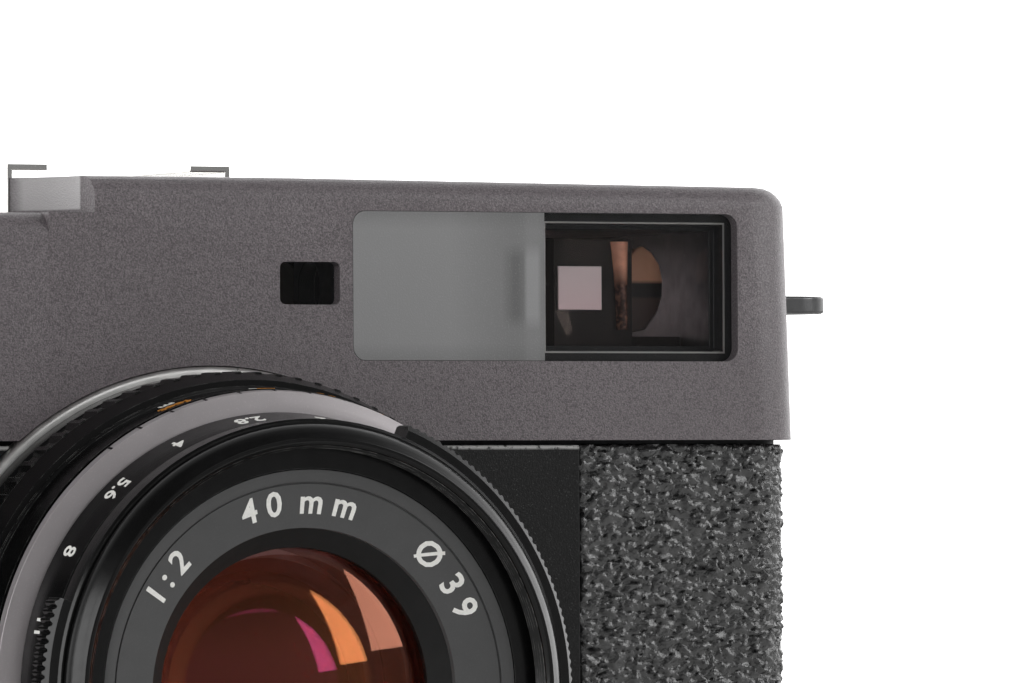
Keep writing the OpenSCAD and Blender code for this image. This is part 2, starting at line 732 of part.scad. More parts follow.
// One blade: a curved strip that swings about a pivot near its end
module iris_blade(i) color([0.3, 0.3, 0.32]) on_lens()
    rotate([0, 0, i * 360 / blades]) translate([0, 0, 5.45 + i * blade_step])
        translate([blade_pivot, 0, 0]) rotate([0, 0, 3.1]) translate([-blade_pivot, 0, 0]) difference() {
        union() {
            rotate_extrude(angle = 82) translate([9.4, 0]) square([6.2, blade_t]);
            translate([blade_pivot, 0, 0]) cylinder(r = 1.5, h = blade_t);
        }
        translate([blade_pivot, 0, -1]) cylinder(r = 0.5, h = 3);
    }

chassis();
front_plate();
leather_left();
leather_right();
top_cover();
mount_ring();
mount_screws();
frosted_window();
viewfinder_window();
rangefinder_window();
finder_housing();
finder_lens();
beamsplitter();
rangefinder_arm();
rangefinder_mirror();
eyepiece();
eyepiece_lens();
accessory_shoe();
strap_lugs();
shutter_curtain();
meter_arm();
tripod_socket();
takeup_spool();
sprocket();
pressure_plate();
back_cover();
back_leather();
latch_key();
latch_wing();
rewind_shaft();
rewind_crank();
rewind_knob();
rewind_button();
release_collar();
release_button();
counter_disc();
counter_window();
advance_lever();
lever_tip();
shutter_dial();
film_speed_dial();
lens_release();
lens_base();
focus_ring();
focus_tab();
lens_barrel();
depth_ring();
aperture_ring();
name_ring();
retaining_ring();
front_glass();
rear_glass();
iris_blade(0);  // iris_blade_1
iris_blade(1);  // iris_blade_2
iris_blade(2);  // iris_blade_3
iris_blade(3);  // iris_blade_4
iris_blade(4);  // iris_blade_5
iris_blade(5);  // iris_blade_6
iris_blade(6);  // iris_blade_7
iris_blade(7);  // iris_blade_8
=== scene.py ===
"""Studio picture of a compact rangefinder camera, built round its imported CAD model."""

import math

import bpy
from mathutils import Matrix, Vector, noise


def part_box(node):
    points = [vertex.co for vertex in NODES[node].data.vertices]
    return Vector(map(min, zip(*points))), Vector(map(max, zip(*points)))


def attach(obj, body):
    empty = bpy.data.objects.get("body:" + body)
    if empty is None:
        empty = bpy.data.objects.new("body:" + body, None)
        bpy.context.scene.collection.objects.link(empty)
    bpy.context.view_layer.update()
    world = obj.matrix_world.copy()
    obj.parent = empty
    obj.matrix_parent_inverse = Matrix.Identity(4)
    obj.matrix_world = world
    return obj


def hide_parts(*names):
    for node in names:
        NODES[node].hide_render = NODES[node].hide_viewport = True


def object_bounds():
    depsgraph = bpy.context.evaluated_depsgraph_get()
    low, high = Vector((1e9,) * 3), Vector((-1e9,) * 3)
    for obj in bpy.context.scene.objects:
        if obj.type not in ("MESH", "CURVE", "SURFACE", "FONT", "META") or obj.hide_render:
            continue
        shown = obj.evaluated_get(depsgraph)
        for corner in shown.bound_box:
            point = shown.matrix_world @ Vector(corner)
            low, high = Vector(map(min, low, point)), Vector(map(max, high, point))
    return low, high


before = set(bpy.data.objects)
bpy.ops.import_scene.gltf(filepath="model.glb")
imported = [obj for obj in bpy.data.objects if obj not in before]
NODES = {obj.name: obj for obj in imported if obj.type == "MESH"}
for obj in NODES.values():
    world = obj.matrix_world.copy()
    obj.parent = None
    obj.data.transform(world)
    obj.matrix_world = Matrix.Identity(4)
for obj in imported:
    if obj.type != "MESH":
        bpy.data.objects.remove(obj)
cad_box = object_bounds()

MM = 0.001
RANGE_SOCKETS = ("From Min", "From Max", "To Min", "To Max")  # of a Map Range node


def box_mm(node):
    """Lowest and highest corner of a CAD node in millimetres."""
    low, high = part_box(node)
    return low / MM, high / MM


# ---------------------------------------------------------------- places read from the frame

MOUNT_LOW, MOUNT_HIGH = box_mm("mount_ring")
LENS_X = (MOUNT_LOW.x + MOUNT_HIGH.x) / 2
LENS_Z = (MOUNT_LOW.z + MOUNT_HIGH.z) / 2
FLANGE = -MOUNT_LOW.y
COVER_LOW, COVER_HIGH = box_mm("top_cover")
BODY_CORNER = 5.0  # plan radius of the body's upright corners


def lens_point(angle, radius, ahead):
    """Point in the row frame from its angle, radius and distance in front of the flange."""
    a = math.radians(angle)
    return Vector((
        (LENS_X + radius * math.cos(a)) * MM,
        -(FLANGE + ahead) * MM,
        (LENS_Z + radius * math.sin(a)) * MM,
    ))


# ---------------------------------------------------------------- materials

COVER_COLOR, COVER_SPECK = (0.125, 0.109, 0.116), (0.3, 0.28, 0.29)
BLACK_COLOR, BLACK_SPECK = (0.006, 0.006, 0.0062), (0.1, 0.1, 0.1)


class Surface:
    """A Principled material with helpers that add procedural detail to it."""

    def __init__(self, name, color, roughness, metallic=0.0, **sockets):
        self.material = bpy.data.materials.new(name)
        self.material.use_nodes = True
        self.tree = self.material.node_tree
        self.shader = self.tree.nodes["Principled BSDF"]
        self.output = self.tree.nodes["Material Output"]
        self.color = color
        self.shader.inputs["Base Color"].default_value = (*color, 1)
        self.shader.inputs["Roughness"].default_value = roughness
        self.shader.inputs["Metallic"].default_value = metallic
        for socket, value in sockets.items():
            self.shader.inputs[socket.replace("_", " ")].default_value = value

    def node(self, kind, **values):
        made = self.tree.nodes.new("ShaderNode" + kind)
        for key, value in values.items():
            if hasattr(made, key):
                setattr(made, key, value)
            else:
                made.inputs[key].default_value = value
        return made

    def link(self, source, target):
        self.tree.links.new(source, target)

    def position(self, stretch=(1, 1, 1)):
        """Place on the part in its own frame, in metres, stretched per axis."""
        place = self.node("TexCoord")
        mapping = self.node("Mapping")
        mapping.inputs["Scale"].default_value = stretch
        self.link(place.outputs["Object"], mapping.inputs["Vector"])
        return mapping.outputs["Vector"]

    def noise(self, size_mm, detail=3.0, rough=0.55, stretch=(1, 1, 1), distortion=0.0):
        """Fractal noise whose blobs are size_mm across."""
        made = self.node("TexNoise", Scale=1 / (size_mm * MM), Detail=detail,
                         Roughness=rough, Distortion=distortion)
        self.link(self.position(stretch), made.inputs["Vector"])
        return made.outputs["Fac"]

    def spread(self, value, low, high, to_low=0.0, to_high=1.0):
        """Value moved from one range to another, with its ends held."""
        made = self.node("MapRange")
        for socket, number in zip(RANGE_SOCKETS, (low, high, to_low, to_high)):
            made.inputs[socket].default_value = number
        self.link(value, made.inputs["Value"])
        return made.outputs["Result"]

    def axis(self, name):
        """One coordinate of the place on the part, in metres."""
        made = self.node("SeparateXYZ")
        self.link(self.position(), made.inputs["Vector"])
        return made.outputs[name]

    def math(self, kind, a, b):
        made = self.node("Math", operation=kind)
        for socket, value in zip(made.inputs, (a, b)):
            if isinstance(value, (int, float)):
                socket.default_value = value
            else:
                self.link(value, socket)
        return made.outputs["Value"]

    def away(self, value, place):
        """How far a coordinate is from one place, either way."""
        return self.math("ABSOLUTE", self.math("SUBTRACT", value, place), 0)

    def tint(self, factor, other):
        """Mixes the colour so far towards another by a factor."""
        made = self.node("Mix", data_type="RGBA")
        factor_in, color_a, color_b = (made.inputs[i] for i in (0, 6, 7))
        mixed = made.outputs[2]
        base = self.shader.inputs["Base Color"]
        if base.is_linked:
            self.link(base.links[0].from_socket, color_a)
        else:
            color_a.default_value = (*self.color, 1)
        color_b.default_value = (*other, 1)
        self.link(factor, factor_in)
        self.link(mixed, base)
        return self

    def vary_roughness(self, factor, low, high):
        self.link(self.spread(factor, 0.3, 0.7, low, high), self.shader.inputs["Roughness"])
        return self

    def bump(self, height, depth_mm, strength=1.0):
        """Relief of that depth, on top of the relief so far."""
        made = self.node("Bump", Strength=strength, Distance=depth_mm * MM)
        self.link(height, made.inputs["Height"])
        normal = self.shader.inputs["Normal"]
        if normal.is_linked:
            self.link(normal.links[0].from_socket, made.inputs["Normal"])
        self.link(made.outputs["Normal"], normal)
        return self

    def edges(self, radius_mm):
        """0 on flat faces and 1 on sharp outer or inner edges."""
        rounded = self.node("Bevel", Radius=radius_mm * MM)
        rounded.samples = 4
        flat = self.node("NewGeometry")
        dot = self.node("VectorMath", operation="DOT_PRODUCT")
        self.link(rounded.outputs["Normal"], dot.inputs[0])
        self.link(flat.outputs["Normal"], dot.inputs[1])
        flat_at, sharp_at = 0.97, 0.75  # cosines between the flat and the rounded normal
        return self.spread(dot.outputs["Value"], flat_at, sharp_at)

    def worn(self, radius_mm, metal, amount=1.0):
        """Bright metal where the finish is worn off the edges."""
        mask = self.math("MULTIPLY", self.edges(radius_mm),
                         self.spread(self.noise(1.1, 4), 0.42, 0.6, 0, amount))
        return self.tint(mask, metal)


def shade(color, factor):
    """A colour made lighter or darker."""
    return [min(1, c * factor) for c in color]


def paint(name, color, roughness, grain_mm, grain_depth, speck, **sockets):
    """Satin paint with a fine grain, faint blotches and light specks."""
    made = Surface(name, color, roughness, **sockets)
    grain = made.noise(grain_mm, 2)
    made.tint(made.spread(grain, 0.45, 0.62, 0, 0.7), shade(color, 1.9))
    made.tint(made.spread(made.noise(grain_mm * 1.3, 1), 0.5, 0.36, 0, 0.7), shade(color, 0.5))
    made.tint(made.spread(made.noise(9, 3), 0.35, 0.7, 0, 0.25), shade(color, 0.8))
    made.tint(made.spread(made.noise(grain_mm * 0.7, 0), 0.72, 0.8, 0, 0.35), speck)
    made.vary_roughness(made.noise(2.5, 4), roughness * 0.88, roughness * 1.1)
    return made.bump(grain, grain_depth)


def metal(name, color, roughness, depth=0.004):
    """Plated or bare metal with a fine grain and faint blotches."""
    made = Surface(name, color, roughness, 1.0)
    grain = made.noise(0.25, 3)
    made.tint(made.spread(made.noise(6, 4), 0.35, 0.7, 0, 0.3), shade(color, 0.82))
    made.vary_roughness(made.noise(1.2, 4), roughness * 0.8, roughness * 1.25)
    return made.bump(grain, depth)


def turned_metal(name, color, roughness, metallic=1.0, depth=0.01, **sockets):
    """Lathe-turned finish: fine rings round the lens axis."""
    made = Surface(name, color, roughness, metallic, **sockets)
    rings = made.noise(0.16, 2, stretch=(0.02, 1, 0.02))
    made.tint(made.spread(made.noise(5, 4), 0.35, 0.7, 0, 0.25), shade(color, 0.8))
    made.tint(made.spread(made.noise(0.13, 1), 0.6, 0.8, 0, 0.25), shade(color, 1.6))
    made.vary_roughness(made.noise(1.5, 4), roughness * 0.85, roughness * 1.15)
    return made.bump(rings, depth)


def clear(name, tint, gloss_color, gloss_rough, normal_share, edge_share):
    """Thin clear glass: mostly see-through, with a coloured reflection that grows at grazing."""
    made = Surface(name, tint, gloss_rough)
    through = made.node("BsdfTransparent", Color=(*tint, 1))
    gloss = made.node("BsdfGlossy", Color=(*gloss_color, 1), Roughness=gloss_rough)
    dust = made.spread(made.noise(0.35, 1), 0.76, 0.82, 0, 0.12)
    rim = made.node("LayerWeight", Blend=0.35)
    share = made.spread(rim.outputs["Facing"], 0.0, 1.0, normal_share, edge_share)
    share = made.math("ADD", share, dust)
    mix = made.node("MixShader")
    made.link(share, mix.inputs[0])
    made.link(through.outputs[0], mix.inputs[1])
    made.link(gloss.outputs[0], mix.inputs[2])
    made.link(mix.outputs[0], made.output.inputs["Surface"])
    return made


def make_slots():
    """One procedural material for each of the record's material slots."""
    made = {}
    made["cover_paint"] = paint("CoverPaint", COVER_COLOR, 0.4, 0.13, 0.045, COVER_SPECK)
    made["black_paint"] = paint("BlackPaint", BLACK_COLOR, 0.45, 0.16, 0.03, BLACK_SPECK,
                                Specular_IOR_Level=0.25)
    made["frame_alloy"] = metal("FrameAlloy", (0.02, 0.02, 0.021), 0.5, depth=0.02)
    cover = Surface("Covering", (0.013, 0.013, 0.0133), 0.2, Specular_IOR_Level=1.0)
    fine = cover.noise(0.22, 4)
    cover.tint(cover.spread(cover.noise(0.9, 4), 0.35, 0.7, 0, 0.6), (0.03, 0.03, 0.0305))
    cover.vary_roughness(cover.noise(0.6, 3), 0.14, 0.3)
    made["covering"] = cover.bump(fine, 0.06)
    made["satin_chrome"] = metal("SatinChrome", (0.85, 0.84, 0.82), 0.34)
    made["bright_chrome"] = metal("BrightChrome", (0.78, 0.77, 0.75), 0.14)
    made["dark_steel"] = metal("DarkSteel", (0.16, 0.16, 0.165), 0.4, depth=0.008)
    made["steel"] = metal("Steel", (0.42, 0.42, 0.43), 0.34, depth=0.008)
    made["mirror"] = metal("MirrorCoating", (0.75, 0.62, 0.45), 0.08, depth=0.0)
    plastic = Surface("BlackPlastic", (0.006, 0.006, 0.0063), 0.45, Specular_IOR_Level=0.3)
    plastic.tint(plastic.spread(plastic.noise(3, 4), 0.35, 0.7, 0, 0.5), (0.01, 0.01, 0.0105))
    plastic.vary_roughness(plastic.noise(1, 4), 0.34, 0.5)
    made["black_plastic"] = plastic.bump(plastic.noise(0.3, 3), 0.01)
    made["lens_black"] = turned_metal("LensBlack", (0.003, 0.003, 0.0031), 0.22, 0.0, depth=0.006,
                                      Specular_IOR_Level=0.3)
    made["lens_black"].worn(0.1, (0.3, 0.295, 0.285), 0.5)
    made["lens_grey"] = turned_metal("LensGrey", (0.45, 0.42, 0.43), 0.4, 0.5)
    made["blade_steel"] = metal("BladeSteel", (0.8, 0.76, 0.72), 0.5, depth=0.01)
    cloth = Surface("ShutterCloth", (0.02, 0.02, 0.02), 0.85)
    weave = cloth.noise(0.18, 1, stretch=(1, 1, 0.3))
    cloth.tint(cloth.spread(weave, 0.4, 0.6), (0.035, 0.035, 0.035))
    made["cloth"] = cloth.bump(weave, 0.06)
    made["frosted_glass"] = frosted_glass()
    made["window_glass"] = clear("WindowGlass", (0.97, 0.97, 0.97), (0.9, 0.9, 0.92),
                                 0.03, 0.005, 0.12)
    made["coated_glass"] = clear("CoatedGlass", (0.97, 0.9, 0.92), (0.85, 0.34, 0.22),
                                 0.03, 0.05, 0.4)
    return made


def frosted_glass():
    """Ground glass: even mid grey with soft clouds, painted shade towards one end and towards the
    top and bottom, the painted shade of the frame behind that end and a painted bright line beside
    it.
    """
    low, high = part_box("frosted_window")
    made = Surface("FrostedGlass", (0.25, 0.25, 0.252), 0.5, Specular_IOR_Level=0.4)
    made.tint(made.spread(made.noise(6, 3), 0.4, 0.7, 0, 0.5), (0.25, 0.25, 0.252))
    x = made.axis("X")
    shade_at, bright_at = high.x - 2.6 * MM, high.x - 1.1 * MM
    bar_shade = made.spread(made.away(x, shade_at), 0.2 * MM, 1.3 * MM, 0.5, 0)
    z = made.axis("Z")
    middle = (low.z + high.z) / 2
    # painted shade, darker towards the end with the frame
    made.tint(made.spread(x, high.x - 8.5 * MM, high.x - 4 * MM, 0, 0.4), (0.12, 0.12, 0.12))
    # painted shade towards the top and bottom
    made.tint(made.spread(made.away(z, middle), 4.6 * MM, 6.0 * MM, 0, 0.35), (0.1, 0.1, 0.1))
    reach = made.spread(made.away(z, middle), 2.3 * MM, 3.6 * MM, 1, 0.15)
    # painted shade of the frame behind the glass
    made.tint(made.math("MULTIPLY", bar_shade, reach), (0.06, 0.06, 0.06))
    # painted highlight: a bright line beside the frame's painted shade
    painted_bright_line = made.spread(made.away(x, bright_at), 0.45 * MM, 0.8 * MM, 0.6, 0)
    made.tint(made.math("MULTIPLY", painted_bright_line, reach), (0.34, 0.34, 0.345))
    frost = made.noise(0.14, 2)
    made.tint(made.spread(frost, 0.55, 0.8, 0, 0.35), (0.36, 0.36, 0.37))
    made.vary_roughness(made.noise(1.4, 3), 0.42, 0.58)
    return made.bump(frost, 0.015)


SLOTS = make_slots()
WHITE = Surface("EngravingWhite", (0.95, 0.94, 0.9), 0.5)
WHITE.tint(WHITE.spread(WHITE.noise(0.3, 3), 0.45, 0.75, 0, 0.4), (0.7, 0.69, 0.66))
ORANGE = Surface("EngravingOrange", (0.62, 0.24, 0.02), 0.5)
ORANGE.tint(ORANGE.spread(ORANGE.noise(0.3, 3), 0.45, 0.75, 0, 0.4), (0.4, 0.14, 0.01))


def special_surfaces():
    """Finishes of single nodes that differ from the rest of their slot."""
    matte = turned_metal("LensMatte", (0.085, 0.085, 0.086), 0.6, 0.0, depth=0.006,
                         Specular_IOR_Level=0.3)
    hood = turned_metal("LensHood", (0.006, 0.006, 0.006), 0.5, 0.0, depth=0.006,
                        Specular_IOR_Level=0.3)
    plate = paint("PlatePaintWithHighlight", BLACK_COLOR, 0.45, 0.16, 0.04, BLACK_SPECK,
                  Specular_IOR_Level=0.25)
    top = box_mm("front_plate")[1].z  # painted highlight along the top edge, broken up by noise
    painted_top_highlight = plate.math("MULTIPLY", plate.spread(plate.axis("Z"), (top - 0.4) * MM,
                                                 (top - 0.2) * MM),
                        plate.spread(plate.noise(0.5, 4), 0.36, 0.48, 0.1, 0.9))
    plate.tint(painted_top_highlight, (0.55, 0.55, 0.54))
    block = Surface("SplitterBlock", (0.006, 0.005, 0.005), 0.5, Specular_IOR_Level=0.2)
    block.tint(block.spread(block.noise(2, 3), 0.4, 0.7), (0.012, 0.009, 0.009))
    lens = clear("FinderGlass", (0.99, 0.98, 0.98), (0.9, 0.7, 0.6), 0.05, 0.004, 0.06)
    cover = paint("CoverPaintHollowReflection", COVER_COLOR, 0.4, 0.13, 0.045, COVER_SPECK)
    # painted reflection in the hollow before the raised part: a bright band below the crest, left
    # of a slanted end and near the front
    crest = COVER_HIGH.z * MM
    slant = 0.463
    slanted = cover.math("SUBTRACT", cover.axis("X"),
                         cover.math("MULTIPLY", cover.axis("Y"), slant))
    scoop_reflection = cover.math("MULTIPLY",
                       cover.spread(cover.axis("Z"), crest - 2.75 * MM, crest - 2.6 * MM),
                       cover.spread(slanted, 2.45 * MM, 2.3 * MM))
    front = cover.spread(cover.axis("Y"), COVER_LOW.y * MM + 9 * MM, COVER_LOW.y * MM + 8 * MM)
    cover.tint(cover.math("MULTIPLY", scoop_reflection, front), (0.46, 0.445, 0.45))
    lug = metal("LugSteel", (0.1, 0.1, 0.102), 0.4, depth=0.008)
    return {"top_cover": cover, "strap_lugs": lug, "front_plate": plate, "name_ring": matte,
            "retaining_ring": hood, "beamsplitter": block, "finder_lens": lens}


# ---------------------------------------------------------------- CAD nodes as they are shown


SHARP_ANGLE = math.radians(32)
WELD_DISTANCE = 0.002 * MM
USUAL_BEVEL = 0.1
BEVEL_FROM_ANGLE = math.radians(35)


def smooth_group():
    """Geometry nodes that weld a node's split corners and shade it smooth between sharp edges."""
    group = bpy.data.node_groups.new("WeldAndSmooth", "GeometryNodeTree")
    group.interface.new_socket("Geometry", in_out="INPUT", socket_type="NodeSocketGeometry")
    group.interface.new_socket("Geometry", in_out="OUTPUT", socket_type="NodeSocketGeometry")
    start = group.nodes.new("NodeGroupInput")
    end = group.nodes.new("NodeGroupOutput")
    weld = group.nodes.new("GeometryNodeMergeByDistance")
    weld.inputs["Distance"].default_value = WELD_DISTANCE
    faces = group.nodes.new("GeometryNodeSetShadeSmooth")
    faces.domain = "FACE"
    sharp = group.nodes.new("GeometryNodeSetShadeSmooth")
    sharp.domain = "EDGE"
    sharp.inputs["Shade Smooth"].default_value = False
    edge = group.nodes.new("GeometryNodeInputMeshEdgeAngle")
    above = group.nodes.new("FunctionNodeCompare")
    above.data_type = "FLOAT"
    above.operation = "GREATER_THAN"
    above.inputs["B"].default_value = SHARP_ANGLE
    for source, target in (
        (start.outputs[0], weld.inputs["Geometry"]),
        (weld.outputs["Geometry"], faces.inputs["Geometry"]),
        (faces.outputs["Geometry"], sharp.inputs["Geometry"]),
        (edge.outputs["Unsigned Angle"], above.inputs["A"]),
        (above.outputs["Result"], sharp.inputs["Selection"]),
        (sharp.outputs["Geometry"], end.inputs[0]),
    ):
        group.links.new(source, target)
    return group


SMOOTH = smooth_group()
# width of the rounded edges in millimetres, where the usual one doesn't suit
BEVELS = {
    "top_cover": 0.12, "front_plate": 0.15, "accessory_shoe": 0.12, "strap_lugs": 0.25,
    "mount_ring": 0.03, "lens_base": 0.12, "focus_ring": 0.09, "aperture_ring": 0.09,
    "lens_barrel": 0.06, "depth_ring": 0.05, "name_ring": 0.04, "retaining_ring": 0.05,
    "frosted_window": 0.1, "viewfinder_window": 0.1, "rangefinder_window": 0.08,
    "focus_tab": 0.4, "lever_tip": 0.4, "advance_lever": 0.25, "back_cover": 0.3,
    "latch_key": 0.2, "latch_wing": 0.2, "rewind_crank": 0.2, "shutter_dial": 0.12,
    "film_speed_dial": 0.08, "eyepiece": 0.12,
}
UNBEVELLED = {"finder_lens", "front_glass", "rear_glass", "eyepiece_lens", "mount_screws",
              "shutter_curtain", "chassis", "sprocket"}


def dress(name, surface):
    """Gives a CAD node its material, smooth shading and small rounded edges.

    surface None means the finish of the node's own slot.
    """
    node = NODES[name]
    chosen = surface or SLOTS[node.data.materials[0].name.split(".")[0]]
    for held in node.material_slots:
        held.material = chosen.material
    if "custom_normal" in node.data.attributes:
        node.data.attributes.remove(node.data.attributes["custom_normal"])
    weld = node.modifiers.new("Weld", "NODES")
    weld.node_group = SMOOTH
    if name in UNBEVELLED or name.startswith("iris_blade"):
        return
    bevel = node.modifiers.new("Edges", "BEVEL")
    bevel.width = BEVELS.get(name, USUAL_BEVEL) * MM
    bevel.segments = 2
    bevel.limit_method = "ANGLE"
    bevel.angle_limit = BEVEL_FROM_ANGLE
    bevel.harden_normals = True
    bevel.use_clamp_overlap = True


# ---------------------------------------------------------------- building new pieces


def piece(name, points, faces, surface, body, smooth=True, sharp_angle=40):
    """A new mesh piece in the row frame that rides on a body and takes a slot's finish."""
    mesh = bpy.data.meshes.new(name)
    mesh.from_pydata(points, [], faces)
    mesh.validate()
    mesh.update()
    mesh.polygons.foreach_set("use_smooth", [smooth] * len(mesh.polygons))
    if smooth:
        mesh.set_sharp_from_angle(angle=math.radians(sharp_angle))
    made = bpy.data.objects.new(name, mesh)
    bpy.context.scene.collection.objects.link(made)
    mesh.materials.append(surface.material)
    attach(made, body)
    return made


def lathe(profile, segments=256, closed=True):
    """Points and faces of a ring about the lens axis from a profile of (radius, ahead)."""
    n = len(profile)
    points = [lens_point(360 * i / segments, r, a) for i in range(segments) for r, a in profile]
    faces = []
    for i in range(segments):
        j = (i + 1) % segments
        for k in range(n if closed else n - 1):
            m = (k + 1) % n
            faces.append((i * n + k, i * n + m, j * n + m, j * n + k))
    return points, faces


def letters(text, size, weight=0.0, depth=0.05):
    """Points and faces of a line of figures, centred, in millimetres; depth is along z."""
    curve = bpy.data.curves.new("figures", "FONT")
    curve.body = text
    curve.size = size
    curve.offset = weight
    curve.extrude = depth / 2
    curve.resolution_u = 3
    curve.align_x = "CENTER"
    curve.align_y = "CENTER"
    holder = bpy.data.objects.new("figures", curve)
    bpy.context.scene.collection.objects.link(holder)
    graph = bpy.context.evaluated_depsgraph_get()
    mesh = holder.evaluated_get(graph).to_mesh()
    points = [v.co.copy() for v in mesh.vertices]
    faces = [tuple(p.vertices) for p in mesh.polygons]
    holder.evaluated_get(graph).to_mesh_clear()
    bpy.data.objects.remove(holder)
    bpy.data.curves.remove(curve)
    return points, faces


def inscription(name, marks, surface, body):
    """Filled engraving: each mark is (points, faces, place) and place maps a point to the frame."""
    points, faces = [], []
    for mark_points, mark_faces, place in marks:
        start = len(points)
        points += [place(p) for p in mark_points]
        faces += [tuple(i + start for i in f) for f in mark_faces]
    return piece(name, points, faces, surface, body, smooth=False)


def on_band(angle, radius_at, ahead):
    """Figures on a band round the lens, read from behind the camera."""
    def place(p):
        a = ahead + p.y
        r = radius_at(a) + p.z
        return lens_point(angle + math.degrees(p.x / radius_at(ahead)), r, a)
    return place


def on_face(angle, radius, face_at):
    """Figures on the front face of a ring, upright outwards, read clockwise."""
    def place(p):
        r = radius + p.y
        return lens_point(angle - math.degrees(p.x / radius), r, face_at(r) + p.z)
    return place


def on_disc(centre, angle, radius, flat):
    """Figures on a round face, upright outwards; flat puts (right, up, out) into the frame."""
    def place(p):
        a = math.radians(angle) - p.x / radius
        r = radius + p.y
        return flat(centre[0] + r * math.cos(a), centre[1] + r * math.sin(a), p.z) * MM
    return place


def bar(width, height, depth=0.05):
    """A short engraved line."""
    x, y, z = width / 2, height / 2, depth / 2
    points = [Vector((i, j, k)) for k in (-z, z) for j in (-y, y) for i in (-x, x)]
    faces = [(0, 2, 3, 1), (4, 5, 7, 6), (0, 1, 5, 4), (2, 6, 7, 3), (0, 4, 6, 2), (1, 3, 7, 5)]
    return points, faces


# ---------------------------------------------------------------- covering


def wrinkle(s, z):
    """Relief of the covering from 0, in a crease, to 1, on a fold; s and z in millimetres."""
    wide, tall = 1.3, 0.6  # size of a fold
    p = Vector((s / wide, z / tall, 0))
    q = p + 0.75 * Vector((noise.noise(p * 0.8 + Vector((3, 1, 7))),
                           noise.noise(p * 0.8 + Vector((9, 4, 2))), 0))
    near, cores = noise.voronoi(q)
    crease = min(1.0, (near[1] - near[0]) * 2.2) ** 0.7
    level = 0.5 + 0.5 * noise.noise(cores[0] * 7.3)
    fold = min(1.0, abs(noise.noise(q * 1.4 + Vector((5, 5, 1)))) * 3.2)
    fine = 0.5 + 0.5 * noise.noise(p * 3.7)
    return min(1.0, crease * (0.35 + 0.3 * level) + 0.22 * fold + 0.16 * fine)


COVERING_RELIEF = 0.72 * 0.9  # depth of the deepest crease
COVERING_RIM = 0.16  # how far the outer edge is rounded off
COVERING_RIM_WIDTH = 0.3
QUICK_STEP, FINE_STEP = 0.3, 0.16  # grid of the covering
MOST_TRIANGLES = 190000  # most triangles in one covering piece; the STL export thins out a piece with more than 200,000


def covering_sheet(name, path, length, low, high, thick, replaces, body):
    """Covering along a path in plan: path(s) gives a point and its outward direction.

    The outer face is a fine grid with the relief in it, closed by its rim and a plain inner face.
    """
    step = FINE_STEP
    step = max(step, math.sqrt(2 * length * (high - low) / MOST_TRIANGLES))
    columns = int(length / step)
    rows = int((high - low) / step)
    points, faces = [], []
    for i in range(columns + 1):
        s = length * i / columns
        at, out = path(s)
        for j in range(rows + 1):
            z = low + (high - low) * j / rows
            near = min(s, length - s, z - low, high - z)
            rim = COVERING_RIM * max(0.0, 1 - near / COVERING_RIM_WIDTH) ** 2
            sink = COVERING_RELIEF * (1 - wrinkle(s, z)) + rim
            p = at - out * sink
            points.append(Vector((p.x, p.y, z)) * MM)
    grid = lambda i, j: i * (rows + 1) + j
    for i in range(columns):
        for j in range(rows):
            faces.append((grid(i, j), grid(i + 1, j), grid(i + 1, j + 1), grid(i, j + 1)))
    border = ([grid(i, 0) for i in range(columns)] + [grid(columns, j) for j in range(rows)]
              + [grid(i, rows) for i in range(columns, 0, -1)]
              + [grid(0, j) for j in range(rows, 0, -1)])
    inner = {}
    for index in border:
        i, j = divmod(index, rows + 1)
        at, out = path(length * i / columns)
        p = at - out * thick
        inner[index] = len(points)
        points.append(Vector((p.x, p.y, low + (high - low) * j / rows)) * MM)
    for a, b in zip(border, border[1:] + border[:1]):
        faces.append((b, a, inner[a], inner[b]))
    for i in range(1, columns - 1):
        faces.append((inner[grid(i, 0)], inner[grid(i, rows)], inner[grid(i + 1, rows)],
                      inner[grid(i + 1, 0)]))
    faces.append([inner[grid(0, j)] for j in range(rows + 1)]
                 + [inner[grid(1, rows)], inner[grid(1, 0)]])
    faces.append([inner[grid(columns, j)] for j in range(rows, -1, -1)]
                 + [inner[grid(columns - 1, 0)], inner[grid(columns - 1, rows)]])
    made = piece(name, points, faces, SLOTS["covering"], body, sharp_angle=60)
    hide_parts(replaces)
    return made


def end_path(node, side):
    """Path of the covering round one end of the body, from the front plate to the back."""
    low, high = box_mm(node)
    front, rear = low.y, high.y
    tip = high.x if side > 0 else low.x
    start = low.x if side > 0 else high.x
    radius = BODY_CORNER - (front - COVER_LOW.y)
    corner = Vector((tip - side * radius, front + radius))
    straight = abs(corner.x - start)
    arc = radius * math.pi / 2
    total = straight + arc + rear - corner.y

    def path(s):
        if s <= straight:
            return Vector((start + side * s, front)), Vector((0, -1))
        if s <= straight + arc:
            a = (s - straight) / radius
            out = Vector((side * math.sin(a), -math.cos(a)))
            return corner + out * radius, out
        return Vector((tip, corner.y + s - straight - arc)), Vector((side, 0))
    return path, total, low.z, high.z


def make_coverings():
    """The wrinkled covering of both ends and of the back."""
    end_thick = 0.8
    for node, side in (("leather_right", 1), ("leather_left", -1)):
        path, total, low, high = end_path(node, side)
        name = "covering_right" if side > 0 else "covering_left"
        covering_sheet(name, path, total, low, high, end_thick, node, "camera_body")
    low, high = box_mm("back_leather")

    def back_path(s):
        return Vector((high.x - s, high.y)), Vector((0, 1))
    covering_sheet("covering_back", back_path, high.x - low.x, low.z, high.z,
                   high.y - low.y, "back_leather", "back")


# ---------------------------------------------------------------- lens


INDEX = 90  # angle of the lens's reference mark, straight up


